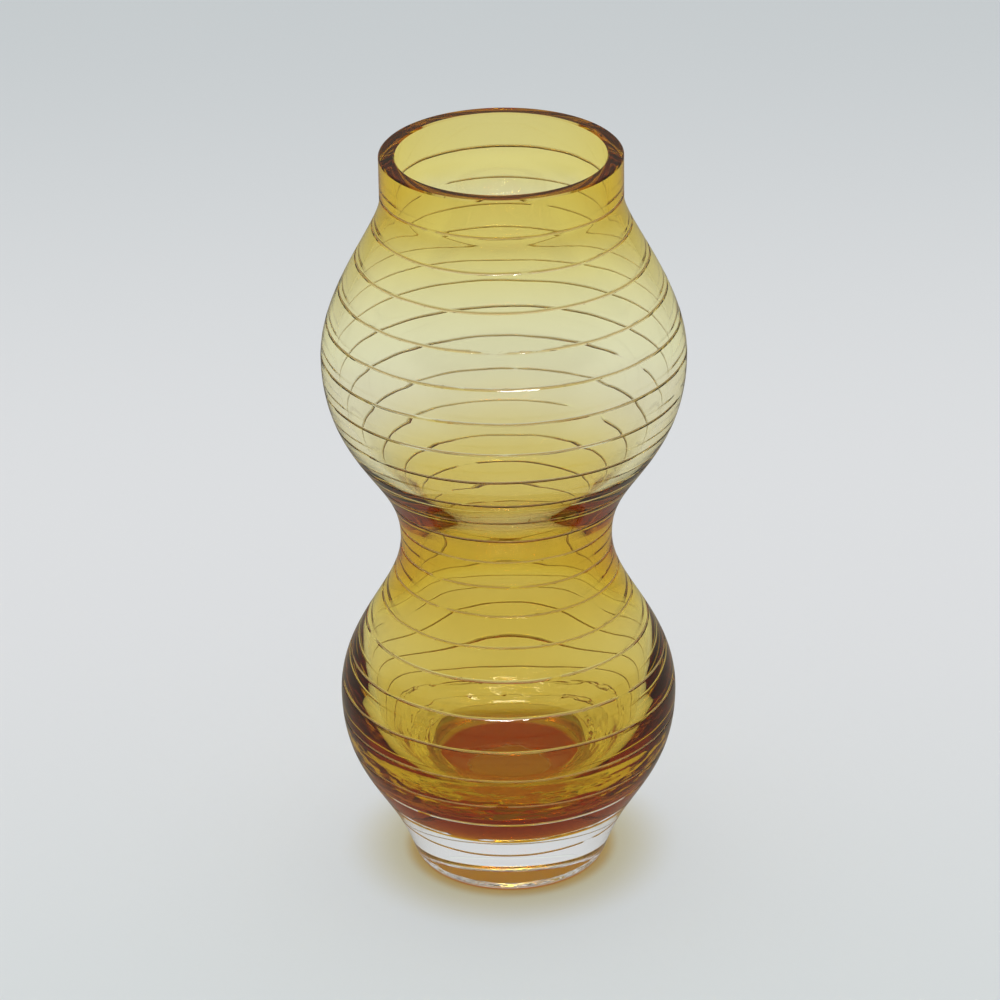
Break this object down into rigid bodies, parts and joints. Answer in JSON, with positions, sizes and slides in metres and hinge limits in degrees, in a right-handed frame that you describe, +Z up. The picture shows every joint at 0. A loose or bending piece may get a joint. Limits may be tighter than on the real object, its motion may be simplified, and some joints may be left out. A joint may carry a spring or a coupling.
{
  "type": "gourd vase",
  "caption": "Tall gourd-shaped glass vase, amber inside and clear outside, with a straight collar, a narrow waist, a heavy clear base and level cut rings; holds cut flowers.",
  "frame": {"origin": "centre of the flat ground base, on the surface that the vase stands on", "axes": "+Z up along the vase's axis to the rim; the vase is round, so +X and +Y have no special meaning"},
  "size_m": [0.0936, 0.0936, 0.2],
  "materials": {
    "amber_glass": "clear, glossy",
    "clear_glass": "clear, glossy, with matt cut rings"
  },
  "bodies": {
    "root": {"amber_lining": "amber_glass", "clear_casing": "clear_glass"}
  },
  "joints": []
}
